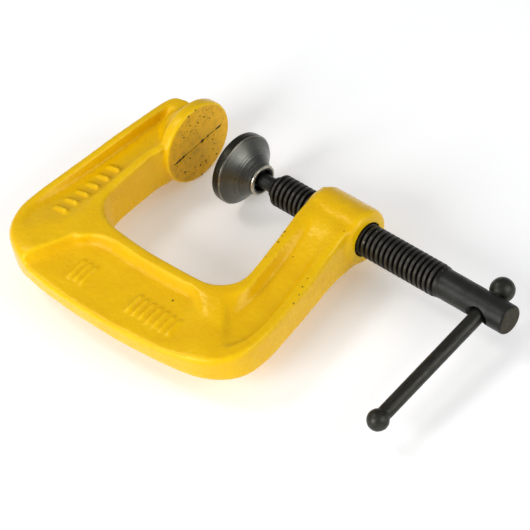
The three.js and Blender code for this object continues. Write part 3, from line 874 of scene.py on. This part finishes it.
def enamel():
    """Glossy yellow enamel over cast iron: orange peel, painted shade in hollows, painted highlight on
    ridges, chips down to black.
    """
    n = Nodes("yellow_enamel")
    relief, pits, chips, anvil, bore = (n.attribute(a) for a in ("relief", "pits", "chips", "anvil", "bore"))
    # the yellow, a deeper yellow for random tone and for painted shade, and a lighter yellow for the painted
    # highlight on ridges
    yellow, deep_tone_and_shade, lit_ridge_yellow = (0.81, 0.480, 0.001), (0.70, 0.35, 0.0005), (0.87, 0.54, 0.004)
    patchy = n.noise(0.16, 4.0, 0.6, seed=1.0)
    color = n.mix(n.remap(patchy, 0.35, 0.7, 0.0, 0.35), yellow, deep_tone_and_shade)
    # painted shade: hollows go towards the deeper yellow; painted highlight: ridges go towards the lighter
    # yellow
    hollow_shade = n.remap(relief, -0.1, -1.2, 0.0, 0.3)
    color = n.mix(hollow_shade, color, deep_tone_and_shade)
    ridge_highlight = n.remap(relief, 0.2, 1.1, 0.0, 0.9)
    color = n.mix(ridge_highlight, color, lit_ridge_yellow)
    speck = n.remap(n.noise(1.6, 6.0, 0.7, seed=2.0), 0.62, 0.72, 0.0, 0.35)
    color = n.mix(speck, color, deep_tone_and_shade)

    # anvil face: thinner, duller paint with grime and black pores
    mottle = n.noise(0.55, 6.0, 0.68, seed=3.0)
    grime = n.remap(mottle, 0.42, 0.74)
    dull = n.mix(grime, (0.84, 0.445, 0.001), (0.56, 0.29, 0.002))
    fine = n.remap(n.noise(3.2, 5.0, 0.75, seed=4.0), 0.52, 0.74)
    dull = n.mix(n.math("MULTIPLY", fine, 0.6), dull, (0.20, 0.11, 0.01))
    color = n.mix(anvil, color, dull)

    # flakes down to the iron, and pores in the anvil face
    pores = n.remap(n.noise(2.1, 2.0, 0.5, seed=6.0), 0.70, 0.735)
    pore = n.math("MULTIPLY", pores, anvil)
    black = n.math("MAXIMUM", n.remap(chips, 0.3, 0.6, 0.0, 0.85), pore)
    black = n.math("MAXIMUM", black, n.remap(pits, 0.22, 0.5))
    color = n.mix(black, color, (0.018, 0.013, 0.008))
    color = n.mix(bore, color, (0.03, 0.026, 0.02))
    n.set(Base_Color=color, Specular_IOR_Level=0.42, Specular_Tint=(1.0, 0.88, 0.42, 1.0))

    satin = n.remap(n.noise(0.35, 5.0, 0.65, seed=7.0), 0.3, 0.75, 0.20, 0.33)
    satin = n.math("ADD", satin, n.math("MULTIPLY", anvil, 0.2))
    satin = n.math("ADD", satin, n.math("MULTIPLY", black, 0.35), clamp=True)
    n.set(Roughness=satin)

    peel = n.bump(n.noise(0.75, 2.5, 0.5, seed=8.0), 0.24, 0.55)
    sandy = n.remap(n.noise(0.14, 2.0, 0.5, seed=9.0), 0.40, 0.60, 0.35, 1.0)
    grit = n.math("MULTIPLY", n.noise(2.4, 5.0, 0.7, seed=10.0), sandy)
    skin = n.bump(grit, 0.09, 0.65, peel)
    n.set(Normal=n.bump(n.math("MULTIPLY", black, -1.0), 0.06, 0.8, skin))
    return n.material


def black_steel():
    """Oiled black oxide on a rolled thread, with painted shade in the thread roots, the crests rubbed and lit
    by a painted highlight with glints, and the sawn end browned.
    """
    n = Nodes("black_steel")
    crest, top, thread, sawn = (n.attribute(a) for a in ("crest", "top", "thread", "sawn"))
    cloud = n.noise(0.25, 4.0, 0.6, seed=1.0)
    shank = n.mix(n.remap(cloud, 0.35, 0.7), (0.020, 0.021, 0.0185), (0.034, 0.0355, 0.031))
    # thread roots darker than the crests: painted shade
    root = n.mix(n.remap(cloud, 0.35, 0.7), (0.010, 0.0093, 0.0075), (0.017, 0.0155, 0.013))
    # crests lighter, and a thin line along their tops lighter still: rubbed wear and painted highlight
    rubbed_and_highlit = n.math("MULTIPLY", crest, n.remap(n.noise(0.8, 4.0, 0.6, seed=2.0), 0.25, 0.7, 0.35, 1.0))
    turned = n.mix(rubbed_and_highlit, root, (0.027, 0.0255, 0.021))
    turned = n.mix(n.math("MULTIPLY", rubbed_and_highlit, n.math("MULTIPLY", top, 0.6)), turned, (0.058, 0.053, 0.043))
    color = n.mix(thread, shank, turned)
    glint = n.math("MULTIPLY", n.remap(n.noise(1.6, 2.0, 0.5, seed=3.0), 0.70, 0.76), crest)
    color = n.mix(n.math("MULTIPLY", glint, thread), color, (0.30, 0.27, 0.22))
    browned = n.remap(n.noise(1.2, 5.0, 0.7, seed=4.0), 0.3, 0.7)
    color = n.mix(sawn, color, n.mix(browned, (0.034, 0.029, 0.018), (0.060, 0.051, 0.035)))
    rough = n.remap(n.noise(0.5, 5.0, 0.65, seed=5.0), 0.3, 0.75, 0.36, 0.52)
    n.set(Base_Color=color, Metallic=0.75, Roughness=n.math("ADD", rough, n.math("MULTIPLY", sawn, 0.2)))
    scale = n.bump(n.noise(2.6, 4.0, 0.6, seed=6.0), 0.035, 0.5)
    drawn = n.noise(1.0, 3.0, 0.6, vector=n.stretched(0.35, 3.0, 3.0), seed=7.0)
    n.set(Normal=n.bump(drawn, 0.03, 0.4, scale))
    return n.material


def turned_steel():
    """Gunmetal oxide over lathe rings, bright where the oxide has rubbed off the rim and the lip and as a
    painted highlight there, with painted shade in the socket.
    """
    n = Nodes("turned_steel")
    worn_and_lit, socket, ring, band = (n.attribute(a) for a in ("worn_and_lit", "socket", "ring", "band"))
    rings = n.noise(1.0, 6.0, 0.75, vector=n.on_line(n.math("MULTIPLY", ring, 5.0)), seed=1.0)
    broad = n.noise(0.5, 3.0, 0.6, vector=n.on_line(n.math("MULTIPLY", ring, 1.6)), seed=2.0)
    cloud = n.noise(0.3, 5.0, 0.65, seed=3.0)
    color = n.mix(n.remap(rings, 0.3, 0.72), (0.062, 0.066, 0.060), (0.165, 0.163, 0.142))
    color = n.mix(n.remap(broad, 0.35, 0.7, 0.0, 0.4), color, (0.040, 0.043, 0.041))
    color = n.mix(n.remap(cloud, 0.4, 0.75, 0.0, 0.5), color, (0.085, 0.078, 0.062))
    color = n.mix(n.math("MULTIPLY", band, 0.95), color, (0.026, 0.024, 0.016))
    scratch = n.remap(n.noise(2.4, 2.0, 0.5, seed=4.0), 0.70, 0.74)
    color = n.mix(n.math("MULTIPLY", scratch, 0.7), color, (0.30, 0.29, 0.26))
    # the rim's rear edge and the lip go to bright steel: rubbed wear and painted highlight
    patch = n.remap(n.noise(0.9, 5.0, 0.7, seed=5.0), 0.28, 0.62, 0.25, 1.0)
    bare_and_lit = n.math("MULTIPLY", worn_and_lit, patch)
    color = n.mix(bare_and_lit, color, (0.50, 0.46, 0.38))
    # painted shade inside the socket and the mouth of the lip
    color = n.mix(socket, color, (0.022, 0.021, 0.018))
    rough = n.remap(rings, 0.3, 0.72, 0.36, 0.22)
    n.set(Base_Color=color, Metallic=0.92, Anisotropic=0.65)
    n.set(Roughness=n.math("SUBTRACT", rough, n.math("MULTIPLY", bare_and_lit, 0.05)))
    groove = n.bump(rings, 0.07, 0.65)
    n.set(Normal=n.bump(n.noise(2.5, 3.0, 0.6, seed=6.0), 0.02, 0.4, groove))
    tangent = n.tree.nodes.new("ShaderNodeTangent")
    tangent.direction_type = "RADIAL"
    tangent.axis = "X"
    n.link(tangent.outputs[0], n.shader.inputs["Tangent"])
    return n.material


def bar_steel():
    """Black oxide on drawn bar: streaks along its length, a grey bloom in patches and small nicks."""
    n = Nodes("bar_steel")
    streak = n.noise(1.0, 5.0, 0.65, vector=n.stretched(2.2, 0.25, 2.2), seed=1.0)
    cloud = n.noise(0.35, 4.0, 0.6, seed=2.0)
    color = n.mix(n.remap(streak, 0.32, 0.7), (0.020, 0.0195, 0.015), (0.042, 0.041, 0.033))
    color = n.mix(n.remap(cloud, 0.45, 0.75, 0.0, 0.6), color, (0.050, 0.050, 0.042))
    nick = n.remap(n.noise(1.3, 2.0, 0.5, seed=3.0), 0.745, 0.775)
    color = n.mix(n.math("MULTIPLY", nick, 0.7), color, (0.2, 0.2, 0.18))
    n.set(Base_Color=color, Metallic=0.75)
    n.set(Roughness=n.remap(n.noise(0.6, 5.0, 0.65, seed=4.0), 0.3, 0.75, 0.36, 0.50))
    fine = n.bump(n.noise(2.4, 4.0, 0.6, seed=5.0), 0.04, 0.5)
    n.set(Normal=n.bump(streak, 0.03, 0.5, fine))
    return n.material


def floor_paint():
    """Plain white paper, with a faint glow of its own that keeps it white."""
    n = Nodes("pale_floor")
    tint = n.remap(n.noise(0.01, 2.0, 0.5), 0.3, 0.7)
    n.set(Base_Color=n.mix(tint, (0.965, 0.965, 0.965), (0.98, 0.98, 0.98)), Roughness=0.9)
    n.set(Emission_Color=(1.0, 1.0, 1.0, 1.0), Emission_Strength=0.15)
    return n.material


# ------------------------------------------------------------------ pieces
def dress(obj, material, body, node):
    """Gives the piece its material, and says what it rides on, replaces and wears."""
    obj.data.materials.clear()
    obj.data.materials.append(material)
    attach(obj, body)
    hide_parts(node)


steel = black_steel()
dress(finish_frame(cast_frame()), enamel(), "frame", "frame")
dress(screw_piece(), steel, "screw", "screw")
dress(ball_piece(), steel, "ball_end", "ball_end")
dress(pad_piece(), turned_steel(), "pad", "pad")
dress(bar_piece(), bar_steel(), "tommy_bar", "tommy_bar")

# ------------------------------------------------------------------ floor, light, camera
FLOOR_Z, FLOOR_HALF = frame_low.z - 0.05, 3000.0
corners = [(x * FLOOR_HALF, y * FLOOR_HALF, FLOOR_Z) for x, y in ((-1, -1), (1, -1), (1, 1), (-1, 1))]
floor = linked("floor", mesh_of("floor", corners, [[0, 1, 2, 3]]))
floor.data.materials.append(floor_paint())


def softbox(name, direction, distance, size, power, target):
    """Square area light that looks at the target from this direction, in millimetres and watts."""
    light = bpy.data.lights.new(name, "AREA")
    light.shape = "SQUARE"
    light.size = size * MM
    light.energy = power
    obj = linked(name, light)
    spot = (Vector(target) + Vector(direction).normalized() * distance) * MM
    obj.location = spot
    obj.rotation_euler = (Vector(target) * MM - spot).to_track_quat("-Z", "Y").to_euler()


middle = (cad_low + cad_high) / 2 / MM
softbox("key", (-0.15, -0.95, 0.5), 650, 380, 3.2, middle)
softbox("top", (-0.52, -0.2, 0.83), 700, 170, 0.8, middle)
softbox("fill", (0.9, 0.25, 0.45), 800, 500, 2.8, middle)

world = bpy.data.worlds.new("studio")
world.use_nodes = True
background = world.node_tree.nodes["Background"]
background.inputs["Color"].default_value = (0.97, 0.985, 1.0, 1.0)
background.inputs["Strength"].default_value = 0.36
bpy.context.scene.world = world
bpy.context.scene.view_settings.view_transform = "Standard"

# a long lens two thirds of a metre away, above the handle and the spine
camera = bpy.data.cameras.new("camera")
camera.sensor_width = 36.0
camera.lens = 197.3
camera.clip_start = 0.01
camera.clip_end = 20.0
eye = linked("camera", camera)
eye.location = (0.3918, -0.2992, 0.4873)
eye.rotation_euler = [math.radians(a) for a in (42.051, 8.251, 42.507)]
bpy.context.scene.camera = eye
